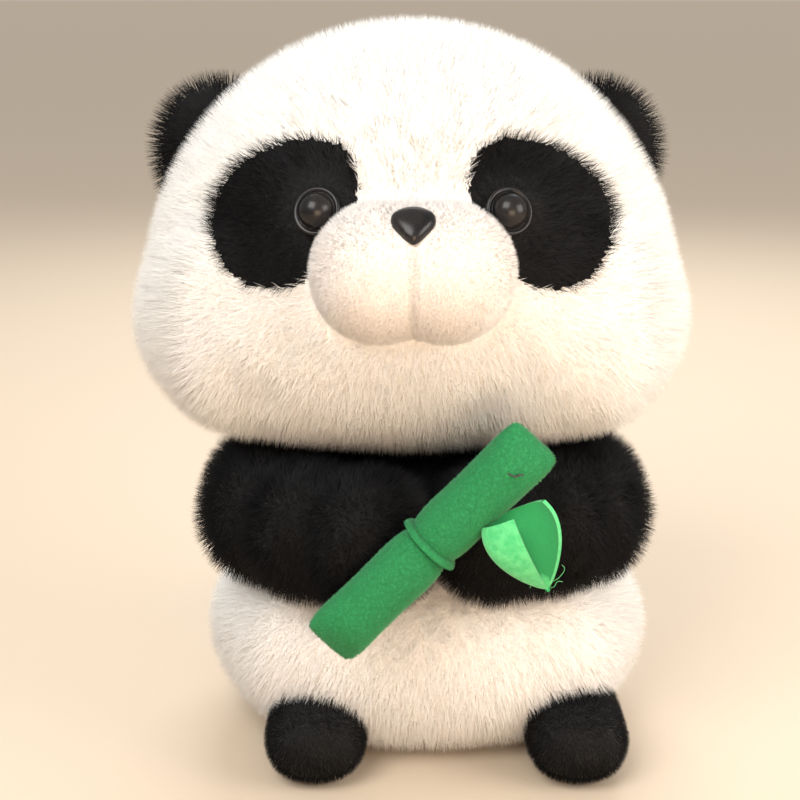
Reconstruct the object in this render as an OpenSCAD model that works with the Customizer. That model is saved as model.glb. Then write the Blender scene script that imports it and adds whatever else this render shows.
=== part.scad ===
// Plush panda holding a felt bamboo stalk. Millimetres, +Z up, the face looks along -Y.
// The origin is the middle of the flat base that the toy sits on. Left and right are the toy's own: left is +X.

/* [Head] */
// Width of the head at the cheeks, over the pressed pile
head_width = 186; // [164:1:190]
// Depth of the head from face to back
head_depth = 136; // [120:1:140]
// Height of the crown above the widest level of the cheeks
crown_rise = 91; // [82:1:94]
// Height of the widest level of the cheeks above the flat underside
cheek_rise = 42; // [38:1:46]
// Height of the underside of the head above the table
chin_height = 115; // [114:1:118]
// Sideways set of the head on the body
head_shift = -6; // [-8:0.5:0]

/* [Face] */
// Radius of each half of the muzzle
muzzle_r = 22; // [19:0.5:23]
// Distance between the middles of the two halves of the muzzle
muzzle_spread = 21; // [16:1:24]
// How far the middle of the muzzle stands in front of the middle of the head
muzzle_forward = 65; // [62:0.5:68]
// Height of the muzzle above the widest level of the cheeks
muzzle_rise = 21; // [17:0.5:23]
// Width of the nose
nose_width = 15; // [12:0.5:17]
// Distance between the middles of the eyes
eye_spacing = 58; // [54:1:60]
// Height of the eyes above the widest level of the cheeks
eye_rise = 38; // [35:1:41]
// Diameter of the domed pupil
eye_dome_d = 11.5; // [9:0.5:13]
// Diameter of the rim round the pupil
eye_rim_d = 15.5; // [14:0.5:17]
// Long half width of an eye patch
patch_long = 27; // [24:0.5:28]
// Short half width of an eye patch
patch_short = 20.5; // [18:0.5:21]
// Droop of an eye patch, in degrees
patch_droop = 40; // [30:1:45]

/* [Ears] */
// Diameter of an ear
ear_d = 40; // [36:1:44]
// Thickness of an ear
ear_thick = 11; // [8:0.5:12]

/* [Body] */
// Width of the belly over the pressed pile
belly_width = 156; // [146:1:160]
// Depth of the body from belly to back
belly_depth = 120; // [112:1:124]
// Radius of the chest between the arms
chest_r = 36; // [32:0.5:36]

/* [Arms] */
// Radius of an arm
arm_r = 20; // [17:0.5:20]
// Height of the middle of the arms above the table
arm_height = 88; // [87:0.5:88.5]

/* [Feet and tail] */
// Distance between the middles of the feet
foot_spacing = 90; // [80:1:94]
// Width of a foot
foot_width = 34; // [28:1:36]
// Height of a foot as part of its width
foot_flatness = 0.8; // [0.7:0.05:1]
// Diameter of the tail
tail_d = 30; // [24:1:34]

/* [Bamboo] */
// Diameter of the stuffed felt stalk
stalk_d = 19; // [16:0.5:20]
// Length of the stalk above the band
upper_length = 45; // [42:1:48]
// Length of the stalk below the band
lower_length = 43; // [38:1:46]
// Lean of the stalk from level, in degrees
stalk_lean = 46; // [42:1:50]
// Length of the leaf
leaf_length = 26; // [22:1:28]
// Width of the leaf, laid flat
leaf_width = 21; // [18:1:24]

/* [Fabric] */
// Thickness of the plush with its pile pressed down
plush = 2.4; // [2:0.1:3]
// Gap that keeps neighbouring pieces apart
gap = 0.3; // [0.2:0.05:0.4]

/* [Hidden] */
$fn = 64;
white = "ivory";
black = "#181818";
green = "#2f9a50";
wadding = "white";
LEFT = 1;
RIGHT = -1;
big = 900;

head_half = head_width / 2;
head_deep = head_depth / 2;
widest = chin_height + cheek_rise;
lower_depth = cheek_rise * 1.6;
side_seam_y = 4;
neck_y = 4;
neck_ball_r = 15;
neck_stem_r = 11;
neck_hole_r = 17;

belly_half = belly_width / 2;
belly_deep = belly_depth / 2;
belly_level = 38;
belly_top = 66;
chest_top = 106;
chest_y = 4;

shoulder = [56.4, -4];
elbow = [56, -31];
left_hand = [25.4, -48];
right_hand = [21, -58.6];

stalk_y = -right_hand[1] + arm_r + gap + stalk_d / 2;
band_x = -1.2;
band_z = 93.9;

// ---- Shape helpers ----

module oval(rx, ry, rz) scale([rx, ry, rz]) sphere(r = 1);
module oval_post(rx, ry, h) scale([rx, ry, 1]) cylinder(r = 1, h = h);

// The slab of space between heights low and high.
module slab(low, high) translate([-big / 2, -big / 2, low]) cube([big, big, high - low]);

// One side of the middle seam, in front of or behind the side seam. Neighbouring panels stay a hair apart.
module quarter(side, front) {
    thread = 0.1;
    translate([side > 0 ? thread : -big - thread, front ? -big + side_seam_y - thread : side_seam_y + thread, -big / 2])
        cube([big, big, big]);
}
module half(side) translate([side > 0 ? 0.1 : -big - 0.1, -big / 2, -big / 2]) cube([big, big, big]);

// A round-ended bolster from one point to another.
module bolster(from, to, r) {
    way = to - from;
    long = norm(way);
    translate(from) rotate([0, acos(way[2] / long), atan2(way[1], way[0])]) rotate_extrude() intersection() {
        union() {
            circle(r = r);
            square([r, long]);
            translate([0, long]) circle(r = r);
        }
        translate([0, -big / 2]) square([big, big]);
    }
}

// ---- Head ----

// The stuffed head, sunk by in on every side: a tall upper half on a shallow, flat-bottomed lower half.
module head_form(in) translate([head_shift, 0, widest]) {
    intersection() {
        oval(head_half - in, head_deep - in, crown_rise - in);
        slab(0, big);
    }
    intersection() {
        oval(head_half - in, head_deep - in, lower_depth - in);
        slab(in - cheek_rise, 0);
    }
}

// How far the face stands in front of the middle of the head at x, for heights h above the cheeks.
function face_out(x, h) = head_deep * sqrt(1 - pow(x / head_half, 2) - pow(h / crown_rise, 2));
eye_out = face_out(eye_spacing / 2, eye_rise);

module patch_post(side, grow) translate([head_shift + side * 37, 0, widest + 36])
    rotate([90, side * patch_droop, 0]) oval_post(patch_long + grow, patch_short + grow, big / 2);

module neck_hole() translate([head_shift, neck_y, chin_height - 5]) cylinder(r = neck_hole_r, h = 20);

module head_panel(side, front) difference() {
    intersection() {
        difference() {
            head_form(0);
            head_form(plush);
        }
        translate([head_shift, 0, 0]) quarter(side, front);
    }
    neck_hole();
    if (front) patch_post(side, gap);
}

module face_left() color(white) head_panel(LEFT, true);
module face_right() color(white) head_panel(RIGHT, true);
module head_back_left() color(white) head_panel(LEFT, false);
module head_back_right() color(white) head_panel(RIGHT, false);

module head_fill() color(wadding) difference() {
    head_form(plush + gap);
    for (side = [LEFT, RIGHT]) at_eye(side) translate([0, 0, -shank_length - gap])
        cylinder(d = washer_d + 2 * gap, h = shank_length + 8);
    translate([head_shift, neck_y, neck_ball_z]) sphere(r = neck_ball_r + gap);
    neck_hole();
}

// ---- Eyes and their patches ----

shank_d = 3.6;
shank_length = 12;
washer_d = 13;
eye_pitch = 20;
eye_splay = 20;

module at_eye(side) translate([head_shift + side * eye_spacing / 2, -eye_out - 0.5, widest + eye_rise])
    rotate([90 - eye_pitch, 0, side * eye_splay]) children();

module eye_patch(side) color(black) difference() {
    intersection() {
        difference() {
            head_form(0);
            head_form(plush);
        }
        patch_post(side, 0);
    }
    at_eye(side) translate([0, 0, -shank_length]) cylinder(d = shank_d + 0.4, h = 20);
    at_eye(side) translate([0, 0, -0.3]) cylinder(d = eye_rim_d + 0.6, h = 20);
}
module eye_patch_left() translate([2 * head_shift, 0, 0]) mirror([1, 0, 0]) eye_patch(RIGHT);
module eye_patch_right() eye_patch(RIGHT);

// A safety eye: domed pupil, rim and ribbed shank in one moulding.
module eye(side) color("#0c0c0e") at_eye(side) {
    cylinder(d = eye_rim_d, h = 1.4);
    translate([0, 0, 1.4]) rotate_extrude() translate([eye_rim_d / 2 - 0.8, 0]) circle(r = 0.8);
    intersection() {
        translate([0, 0, 0.8]) sphere(d = eye_dome_d);
        translate([0, 0, 0.8]) cylinder(d = eye_dome_d + 1, h = eye_dome_d);
    }
    translate([0, 0, -shank_length]) cylinder(d = shank_d, h = shank_length + 0.5);
}

// The space that the rims press into the sides of the muzzle.
module eye_seats() for (side = [LEFT, RIGHT]) at_eye(side) translate([0, 0, -3]) cylinder(d = eye_rim_d + 1.2, h = 24);
module eye_left() eye(LEFT);
module eye_right() eye(RIGHT);

// The washer that locks a shank from inside.
module washer() difference() {
    cylinder(d = washer_d, h = 1.4);
    translate([0, 0, -1]) cylinder(d = shank_d + 0.1, h = 4);
}
module eye_washers() color("gainsboro") for (side = [LEFT, RIGHT])
    at_eye(side) translate([0, 0, -shank_length + 2]) washer();

// ---- Muzzle and nose ----

nose_rise = 15.5;
nose_pitch = 45;
nose_deep = 13.6;

module muzzle_form(in) for (side = [LEFT, RIGHT])
    translate([head_shift + side * muzzle_spread / 2, -muzzle_forward, widest + muzzle_rise]) sphere(r = muzzle_r - in);

module at_nose() translate([head_shift, -muzzle_forward - nose_deep, widest + muzzle_rise + nose_rise])
    rotate([90 - nose_pitch, 0, 0]) children();

module muzzle_cover() color(white) difference() {
    muzzle_form(0);
    muzzle_form(1.6);
    head_form(-gap);
    eye_seats();
    at_nose() translate([0, 0, -2]) cylinder(d = nose_width + 3, h = 20);
    at_nose() translate([0, 0, -shank_length]) cylinder(d = shank_d + 0.4, h = 20);
    translate([head_shift - mouth_w / 2 - 0.2, -big, widest + muzzle_rise - 16.2]) cube([mouth_w + 0.4, big, mouth_h + 0.4]);
}
module muzzle_fill() color(wadding) difference() {
    muzzle_form(1.6 + gap);
    head_form(-gap);
    eye_seats();
    at_nose() translate([0, 0, -shank_length - gap]) cylinder(d = washer_d + 2 * gap, h = shank_length + 20);
}

mouth_w = 1.2;
mouth_h = 24;
mouth_in = 2.6;

// The seam down the middle of the muzzle, closed with one line of thread.
module mouth_thread() color(white) translate([head_shift, -muzzle_forward, widest + muzzle_rise])
    rotate([90, 0, 90]) translate([0, 0, -mouth_w / 2]) linear_extrude(mouth_w) intersection() {
        difference() {
            circle(r = sqrt(pow(muzzle_r, 2) - pow(muzzle_spread / 2, 2)) - 0.2);
            circle(r = sqrt(pow(muzzle_r, 2) - pow(muzzle_spread / 2, 2)) - 1.5);
        }
        translate([-big, -16]) square([big - 5, mouth_h]);
    }

// The nose: a domed rounded triangle, point down, on a shank.
module nose() color("#0c0c0e") at_nose() {
    corner = 2.6;
    intersection() {
        translate([0, 0, -9]) sphere(r = 13.2);
        linear_extrude(6) hull() {
            for (side = [LEFT, RIGHT]) translate([side * (nose_width / 2 - corner), 2.6]) circle(r = corner, $fn = 32);
            translate([0, -4.6]) circle(r = corner, $fn = 32);
        }
    }
    translate([0, 0, -shank_length]) cylinder(d = shank_d, h = shank_length + 0.5);
}
module nose_washer() color("gainsboro") at_nose() translate([0, 0, -shank_length + 1]) washer();

// ---- Ears ----

ear_x = 70;
ear_up = crown_rise * sqrt(1 - pow(ear_x / head_half, 2));
ear_out_way = atan2(ear_x / pow(head_half, 2), ear_up / pow(crown_rise, 2));
ear_y = 8;
ear_base = 3.4;
ear_sink = 8.4;

// The middle of an ear's base, above the head. Here +Z points away from the head and Y runs through the ear.
module at_ear(side) translate([head_shift + side * ear_x, ear_y, widest + ear_up])
    rotate([0, side * ear_out_way, 0]) translate([0, 0, ear_base]) children();

// Half of an ear: a round cushion with its lower part cut away, where it is sewn into the side seam.
module ear(side, front) color(black) at_ear(side) intersection() {
    translate([0, 0, -ear_sink]) rotate([90, 0, 0]) rotate_extrude() intersection() {
        union() {
            translate([0, -ear_thick / 2]) square([ear_d / 2 - ear_thick / 2, ear_thick]);
            translate([ear_d / 2 - ear_thick / 2, 0]) circle(r = ear_thick / 2);
        }
        translate([0, front ? 0.1 : -big - 0.1]) square([big, big]);
    }
    slab(0, big);
}
module ear_left_front() ear(LEFT, true);
module ear_left_back() ear(LEFT, false);
module ear_right_front() ear(RIGHT, true);
module ear_right_back() ear(RIGHT, false);

// ---- Neck ----

neck_ball_z = chin_height + 10;

// Firm stuffing that runs from the body up into the head.
module neck_core() color(wadding) translate([head_shift, neck_y, 0]) {
    translate([0, 0, neck_ball_z]) sphere(r = neck_ball_r);
    translate([0, 0, chest_top - 22]) cylinder(r = neck_stem_r, h = neck_ball_z - chest_top + 22);
}
module neck_thread() color(white) translate([head_shift, neck_y, chest_top + 2.2]) rotate_extrude()
    translate([neck_stem_r + 1.6, 0]) circle(r = 1.3);

// ---- Body ----

module belly_form(in) {
    intersection() {
        translate([0, 0, belly_level]) oval(belly_half - in, belly_deep - in, belly_level * 1.5 - in);
        slab(in, belly_level);
    }
    intersection() {
        translate([0, 0, belly_level]) oval(belly_half - in, belly_deep - in, 34 - in);
        slab(belly_level, belly_top);
    }
}
module chest_form(in) translate([0, chest_y, belly_top]) cylinder(r = chest_r - in, h = chest_top - belly_top - in);
module neck_bore() translate([head_shift, neck_y, chest_top - 23]) cylinder(r = neck_stem_r + gap, h = 60);

base_x = belly_half * 0.66;
base_y = belly_deep * 0.66;

module belly_panel(side, front) color(white) difference() {
    intersection() {
        difference() {
            belly_form(0);
            belly_form(plush);
        }
        quarter(side, front);
    }
    translate([0, 0, -1]) oval_post(base_x + 0.2, base_y + 0.2, plush + 2);
}
module belly_left() belly_panel(LEFT, true);
module belly_right() belly_panel(RIGHT, true);
module back_left() belly_panel(LEFT, false);
module back_right() belly_panel(RIGHT, false);

module base_panel() color(white) oval_post(base_x, base_y, plush - gap);

// Half of the black band round the chest.
module chest_panel(side) color(black) intersection() {
    difference() {
        chest_form(0);
        translate([0, chest_y, belly_top - 1])
            cylinder(r = chest_r - plush, h = chest_top - belly_top - plush + 1);
        neck_bore();
    }
    half(side);
}
module chest_left() chest_panel(LEFT);
module chest_right() chest_panel(RIGHT);

module body_fill() color(wadding) {
    intersection() {
        belly_form(plush + gap);
        slab(plush + gap, belly_top);
    }
    difference() {
        translate([0, chest_y, belly_top]) {
            cylinder(r = chest_r - plush - gap, h = chest_top - belly_top - plush - gap);
            translate([0, 0, -5]) cylinder(r = chest_r / 2, h = 6);
        }
        neck_bore();
    }
}

tail_out = 7;

// The tail, cut flat where it is sewn to the back.
module tail_form(in, cut) translate([0, belly_deep + gap + tail_out, 26]) rotate([-90, 0, 0]) rotate_extrude()
    intersection() {
        circle(d = tail_d - 2 * in);
        translate([0, -cut]) square([big, big]);
    }
module tail_cover() color(white) difference() {
    tail_form(0, tail_out);
    tail_form(plush, tail_out + 1);
}
module tail_fill() color(wadding) tail_form(plush + gap, tail_out);

// ---- Arms ----

// A bent arm, sunk by in: a round upper arm from shoulder to elbow and a slightly thinner forearm to the paw.
module arm_form(side, in) {
    hand = side > 0 ? left_hand : right_hand;
    at_shoulder = [side * shoulder[0], shoulder[1], arm_height];
    at_elbow = [side * elbow[0], elbow[1], arm_height];
    at_hand = [side * hand[0], hand[1], arm_height];
    bolster(at_shoulder, at_elbow, arm_r - in);
    bolster(at_elbow, at_hand, arm_r - 0.8 - in);
}

module arm_cover(side) color(black) difference() {
    arm_form(side, 0);
    arm_form(side, plush);
}
module arm_fill(side) color(wadding) arm_form(side, plush + gap);
module arm_left_cover() arm_cover(LEFT);
module arm_left_fill() arm_fill(LEFT);
module arm_right_cover() arm_cover(RIGHT);
module arm_right_fill() arm_fill(RIGHT);

// ---- Feet ----

foot_r = foot_width / 2;
foot_shift = 6;

module foot_form(side, in) translate([foot_shift + side * foot_spacing / 2, -30, foot_r * foot_flatness])
    scale([1, 1, (foot_r * foot_flatness - in) / (foot_r - in)]) {
        rotate([90, 0, 0]) cylinder(r = foot_r - in, h = 22);
        translate([0, -22, 0]) sphere(r = foot_r - in);
    }
module foot_cover(side) color(black) difference() {
    foot_form(side, 0);
    foot_form(side, plush);
    belly_form(-gap);
}
module foot_fill(side) color(wadding) difference() {
    foot_form(side, plush + gap);
    belly_form(-gap);
}
module foot_left_cover() foot_cover(LEFT);
module foot_left_fill() foot_fill(LEFT);
module foot_right_cover() foot_cover(RIGHT);
module foot_right_fill() foot_fill(RIGHT);

// ---- Bamboo ----

stalk_r = stalk_d / 2;
band_h = 5;

// The stalk's own frame: the middle of the band, +Z along the stalk and -Y out of the paws.
module at_stalk() translate([band_x, -stalk_y, band_z]) rotate([0, 90 - stalk_lean, 0]) children();

// A stuffed felt tube, closed at its far end with a flat seam.
module stalk_part(length) {
    cylinder(r = stalk_r, h = length - stalk_r);
    translate([0, 0, length - stalk_r]) intersection() {
        sphere(r = stalk_r);
        slab(-1, big);
    }
    translate([-stalk_r * 0.7, -0.8, length - 4]) cube([stalk_r * 1.4, 1.6, 4.5]);
}
module stalk_upper() color(green) at_stalk() translate([0, 0, band_h / 2 + 0.1]) stalk_part(upper_length);
module stalk_lower() color(green) difference() {
    at_stalk() rotate([180, 0, 0]) translate([0, 0, band_h / 2 + 0.1]) stalk_part(lower_length);
    at_stitch() cylinder(d = 2, h = 9);
}
module stalk_band() color(green) at_stalk() {
    translate([0, 0, -band_h / 2]) cylinder(r = stalk_r, h = band_h);
    rotate_extrude() translate([stalk_r - 0.6, 0]) circle(r = band_h / 2);
}

leaf_at = 25;
leaf_t = 1.6;
leaf_turn = 68.5;

// The leaf hangs from the side of the stalk. Here +X runs from its foot to its tip.
module at_leaf() at_stalk() translate([stalk_r + 1.2, -1.5, leaf_at]) rotate([0, -stalk_lean + leaf_turn, 0]) children();

module leaf() color(green) at_leaf() {
    leaf_round = (pow(leaf_length / 2, 2) + pow(leaf_width / 2, 2)) / leaf_width;
    rotate([90, 0, 0]) translate([leaf_length / 2, 0, -leaf_t / 2]) linear_extrude(leaf_t) intersection() {
        translate([0, leaf_round - leaf_width / 2]) circle(r = leaf_round);
        translate([0, leaf_width / 2 - leaf_round]) circle(r = leaf_round);
    }
}

// The tack that holds the stalk on the right paw.
stitch_at = -20;
module at_stitch() at_stalk() translate([0, stalk_r - 1, stitch_at]) rotate([-90, 0, 0]) children();
module paw_stitch() color(black) at_stitch() cylinder(d = 2, h = 4);

face_left();
face_right();
head_back_left();
head_back_right();
head_fill();
eye_patch_left();
eye_patch_right();
muzzle_cover();
muzzle_fill();
mouth_thread();
nose();
nose_washer();
eye_left();
eye_right();
eye_washers();
ear_left_front();
ear_left_back();
ear_right_front();
ear_right_back();
neck_core();
neck_thread();
belly_left();
belly_right();
back_left();
back_right();
chest_left();
chest_right();
base_panel();
body_fill();
tail_cover();
tail_fill();
arm_left_cover();
arm_left_fill();
arm_right_cover();
arm_right_fill();
foot_left_cover();
foot_left_fill();
foot_right_cover();
foot_right_fill();
stalk_upper();
stalk_lower();
stalk_band();
leaf();
paw_stitch();
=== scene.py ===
# %% [markdown]
# # A plush panda that holds a felt bamboo stalk
# The toy is a stuffed bag of long-pile plush with a broad head, a barrel body, two bent arms, two small feet,
# hard domed eyes and a moulded nose. Nearly everything that shows is pile, so most of this lesson is about
# making real fibres: a smooth stuffed skin is modelled first, and then fibres are planted all over it.

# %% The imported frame
import math

import bpy
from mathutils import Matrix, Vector


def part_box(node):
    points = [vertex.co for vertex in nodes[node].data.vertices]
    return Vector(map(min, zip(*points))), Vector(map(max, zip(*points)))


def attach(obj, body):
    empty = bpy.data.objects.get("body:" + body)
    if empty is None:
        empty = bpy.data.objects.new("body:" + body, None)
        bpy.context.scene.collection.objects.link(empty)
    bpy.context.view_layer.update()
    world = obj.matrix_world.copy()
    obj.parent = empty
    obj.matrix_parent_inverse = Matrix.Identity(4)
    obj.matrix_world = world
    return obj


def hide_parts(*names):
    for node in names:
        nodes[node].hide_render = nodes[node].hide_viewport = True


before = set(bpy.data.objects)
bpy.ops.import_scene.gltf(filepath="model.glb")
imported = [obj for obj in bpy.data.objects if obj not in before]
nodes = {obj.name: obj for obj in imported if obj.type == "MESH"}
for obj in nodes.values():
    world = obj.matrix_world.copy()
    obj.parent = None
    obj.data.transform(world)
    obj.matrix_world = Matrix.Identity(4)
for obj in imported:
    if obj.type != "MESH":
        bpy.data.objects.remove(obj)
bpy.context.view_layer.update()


def span(*names):
    """Lowest and highest corner round several CAD nodes."""
    boxes = [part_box(name) for name in names]
    low = Vector([min(b[0][i] for b in boxes) for i in range(3)])
    high = Vector([max(b[1][i] for b in boxes) for i in range(3)])
    return low, high


# %% [markdown]
# ## Camera, floor and light
# The toy stands on a pale table under large soft lights, and is seen from a little above its face. The
# camera's lens, height and distance come first, because every later choice is judged through it. Small lamps
# would give hard shadows, so the lights are big areas, and one warm light low in front stands for light sent
# back by the table.

# %% Camera, floor and light
MM = 0.001
look_at = Vector((-10, 0, 119)) * MM
camera_up = math.radians(15)
camera_far = 0.544
table_size, table_drop = 400, 0.0004

bpy.ops.object.select_all(action="DESELECT")
bpy.ops.object.camera_add(
    location=look_at + camera_far * Vector((0, -math.cos(camera_up), math.sin(camera_up))),
    rotation=(math.radians(90) - camera_up, 0, 0),
)
camera = bpy.context.object
camera.data.sensor_width = 36
camera.data.lens = 67.5
camera.data.clip_start = 0.01
bpy.context.scene.camera = camera

bpy.ops.mesh.primitive_plane_add(size=table_size, location=(0, 0, -table_drop))
table = bpy.context.object
table.name = "table_top"
table_finish = bpy.data.materials.new("pale table")
table_finish.use_nodes = True
table_shader = table_finish.node_tree.nodes["Principled BSDF"]
table_shader.inputs["Base Color"].default_value = (0.62, 0.51, 0.39, 1)
table_shader.inputs["Roughness"].default_value = 0.6
table.data.materials.append(table_finish)


TOY_MIDDLE = Vector((0, 0, 0.12))


def soft_light(name, place, size, power, colour):
    """A square lamp of that size, turned towards the middle of the toy."""
    place = Vector(place)
    bpy.ops.object.light_add(type="AREA", location=place)
    lamp = bpy.context.object
    lamp.name = name
    lamp.rotation_euler = (TOY_MIDDLE - place).to_track_quat("-Z", "Y").to_euler()
    lamp.data.size = size
    lamp.data.energy = power
    lamp.data.color = colour
    return lamp


soft_light("key_light", place=(-0.45, -0.75, 0.95), size=0.7, power=12.5, colour=(1.0, 0.98, 0.95))
soft_light("side_light", place=(0.85, -0.45, 0.45), size=0.6, power=7.5, colour=(1.0, 0.94, 0.87))
soft_light("table_bounce", place=(0.15, -0.8, 0.05), size=0.5, power=5.2, colour=(1.0, 0.72, 0.50))
soft_light("rim_light", place=(0.1, 0.8, 0.8), size=0.8, power=7, colour=(1.0, 1.0, 1.0))
sky = bpy.data.worlds.new("sky")
bpy.context.scene.world = sky
sky.use_nodes = True
sky.node_tree.nodes["Background"].inputs["Color"].default_value = (0.97, 0.945, 0.905, 1)
sky.node_tree.nodes["Background"].inputs["Strength"].default_value = 0.7
bpy.context.scene.view_settings.view_transform = "Standard"
print("camera", [round(v, 3) for v in camera.location])

# %% [markdown]
# ## A short way to write nodes
# Patterns are sums: a little noise times a depth, plus a base. Written out, each plus sign is a node and two
# links. `Socket` lets Python's own operators add those nodes, and `Recipe.add` adds any other node from its
# type, its settings and the values or links of its sockets. It serves materials and Geometry Nodes alike.

# %% Sockets that can be added and multiplied
class Socket:
    """One output of a node, which can be used in an expression."""

    def __init__(self, recipe, link):
        self.recipe, self.link = recipe, link

    def maths(self, operation, *values):
        return self.recipe.add("ShaderNodeMath", {"operation": operation}, dict(enumerate(values)))[0]

    def __add__(self, other):
        return self.maths("ADD", self, other)

    __radd__ = __add__

    def __mul__(self, other):
        return self.maths("MULTIPLY", self, other)

    __rmul__ = __mul__

    def __sub__(self, other):
        return self.maths("SUBTRACT", self, other)

    def __rsub__(self, other):
        return self.maths("SUBTRACT", other, self)

    def clipped(self, low, high, new_low=0.0, new_high=1.0):
        """The value from low to high, spread over new_low to new_high with smooth ends."""
        return self.recipe.add(
            "ShaderNodeMapRange",
            {"interpolation_type": "SMOOTHSTEP"},
            {0: self, 1: low, 2: high, 3: new_low, 4: new_high},
        )[0]


class Added:
    """A node just added: its outputs by number or name."""

    def __init__(self, recipe, node):
        self.recipe, self.node = recipe, node

    def __getitem__(self, key):
        return Socket(self.recipe, self.node.outputs[key])


class Recipe:
    """A node tree that is being written."""

    def __init__(self, tree):
        self.tree = tree

    def add(self, kind, settings=None, values=None):
        node = self.tree.nodes.new(kind)
        for key, value in (settings or {}).items():
            setattr(node, key, value)
        for key, value in (values or {}).items():
            if isinstance(value, Socket):
                self.tree.links.new(value.link, node.inputs[key])
            else:
                node.inputs[key].default_value = value
        return Added(self, node)

    def vector(self, operation, *values, **named):
        values = {**dict(enumerate(values)), **named}
        return self.add("ShaderNodeVectorMath", {"operation": operation}, values)

    def times(self, vector, factor):
        return self.vector("SCALE", vector, Scale=factor)[0]

    def plus(self, first, second):
        return self.vector("ADD", first, second)[0]

    def noise(self, place, scale, detail=2.0, rough=0.5):
        return self.add(
            "ShaderNodeTexNoise",
            None,
            {"Vector": place, "Scale": scale, "Detail": detail, "Roughness": rough},
        )

    def blended(self, factor, first, second):
        """A colour between first and second."""
        return self.add("ShaderNodeMix", {"data_type": "RGBA"}, {"Factor": factor, 6: first, 7: second})[2]


# %% [markdown]
# ## Finishes
# Plush is a knitted backing with fibres standing out of it. The fibres are real geometry here, so their
# finish only has to say how one fibre looks: paler at its tip, which is painted light where light gets in,
# and darker at its root, which is painted shade from the fibres crowded round it.
# The place along the fibre is stored on the fibre as an attribute named `along`. Broad, faint noise stands
# for the uneven dye and for the handling that every soft toy shows. Felt is matted fibre, so it gets a fine
# bump as well.

# %% Finishes
def rgb(red, green, blue):
    return (red, green, blue, 1.0)


def finish(name, roughness, sheen=0.0, shine=0.5):
    """A new material with its shader, and the recipe that its patterns are written in."""
    material = bpy.data.materials.new(name)
    material.use_nodes = True
    recipe = Recipe(material.node_tree)
    shader = material.node_tree.nodes["Principled BSDF"]
    shader.inputs["Roughness"].default_value = roughness
    shader.inputs["Sheen Weight"].default_value = sheen
    shader.inputs["Specular IOR Level"].default_value = shine
    place = recipe.add("ShaderNodeTexCoord")["Object"]
    return material, recipe, shader, place


def feed(recipe, shader, socket, value):
    """Links a value to one of the shader's sockets."""
    recipe.tree.links.new(value.link, shader.inputs[socket])


def fibre(name, root, tip, shade, roughness, sheen=0.0, uneven=55.0, shine=0.3):
    """Fibre that goes from the colour root, painted shade deep in the pile, to the colour tip, painted light,
    with random patches that lean towards the colour shade.
    """
    material, recipe, shader, place = finish(name, roughness=roughness, sheen=sheen, shine=shine)
    along = recipe.add("ShaderNodeAttribute", {"attribute_name": "along"})["Fac"]
    # Painted light and shade: the root end is painted darker as the shade deep in the pile, and the tip paler
    # as light.
    colour = recipe.blended(along.clipped(0.0, 0.8), root, tip)
    patches = recipe.noise(place, uneven, 3.0)["Fac"].clipped(0.42, 0.75, 0.0, 0.55)
    feed(recipe, shader, "Base Color", recipe.blended(patches, colour, shade))
    fine = recipe.noise(place, 900.0, 1.0)["Fac"]
    feed(recipe, shader, "Roughness", fine * 0.2 + (roughness - 0.1))
    return material


def backing(name, colour, shade):
    """The knitted backing that the pile stands on: fine rows of loops, mostly hidden."""
    material, recipe, shader, place = finish(name, roughness=0.9, sheen=0.1)
    loops = recipe.add("ShaderNodeTexVoronoi", None, {"Vector": place, "Scale": 900.0})["Distance"]
    feed(recipe, shader, "Base Color", recipe.blended(loops.clipped(0.1, 0.7), colour, shade))
    bump = recipe.add(
        "ShaderNodeBump", None, {"Strength": 0.5, "Distance": 0.0004, "Height": loops}
    )["Normal"]
    feed(recipe, shader, "Normal", bump)
    return material


# %% [markdown]
# ### The finishes of this toy
# White pile is never pure white: it is a little warm, and its roots are painted darker and warmer as shade
# deep in the pile. Black pile gets a painted trace of light at its tips, or it would look like a hole. The
# short naps and the felt get their own fibre, and under each pile lies a backing of nearly the same colour,
# so that a thin spot in the pile doesn't show.

# %% Fibres and backings
white_fibre = fibre(
    "white plush fibre",
    root=rgb(0.965, 0.935, 0.89),
    tip=rgb(0.99, 0.98, 0.955),
    shade=rgb(0.975, 0.945, 0.90),
    roughness=0.8,
    sheen=0.1,
)
black_fibre = fibre(
    "black plush fibre",
    root=rgb(0.002, 0.002, 0.0025),
    tip=rgb(0.0085, 0.0085, 0.0095),
    shade=rgb(0.004, 0.004, 0.0045),
    roughness=0.5,
    shine=0.1,
)
muzzle_fibre = fibre(
    "short white nap",
    root=rgb(0.86, 0.78, 0.72),
    tip=rgb(0.965, 0.925, 0.89),
    shade=rgb(0.93, 0.86, 0.81),
    roughness=0.85,
    sheen=0.1,
)
foot_fibre = fibre(
    "short black nap",
    root=rgb(0.002, 0.002, 0.0025),
    tip=rgb(0.008, 0.008, 0.009),
    shade=rgb(0.004, 0.004, 0.0045),
    roughness=0.5,
    shine=0.1,
)
green_fibre = fibre(
    "green felt nap",
    root=rgb(0.014, 0.19, 0.060),
    tip=rgb(0.036, 0.37, 0.125),
    shade=rgb(0.022, 0.28, 0.090),
    roughness=0.9,
    sheen=0.15,
    uneven=90.0,
    shine=0.15,
)
white_backing = backing("white plush backing", colour=rgb(0.94, 0.91, 0.86), shade=rgb(0.89, 0.85, 0.79))
black_backing = backing(
    "black plush backing", colour=rgb(0.003, 0.003, 0.0035), shade=rgb(0.0015, 0.0015, 0.0015)
)
green_backing = backing("green felt backing", colour=rgb(0.020, 0.25, 0.080), shade=rgb(0.012, 0.18, 0.055))
print("finishes", len(bpy.data.materials))

# %% [markdown]
# ## Modelling in code
# A stuffed shape starts as a few rounded blocks, each a cube cut into small squares and blown out towards a
# ball. They are joined and remeshed into one even skin, and its corners are eased by smoothing. An even skin
# matters twice here: the stuffing pressure works evenly on it, and so does the planting of fibres.

# %% Rounded blocks, fused into one skin
TOUCHING = 1e-6


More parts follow.
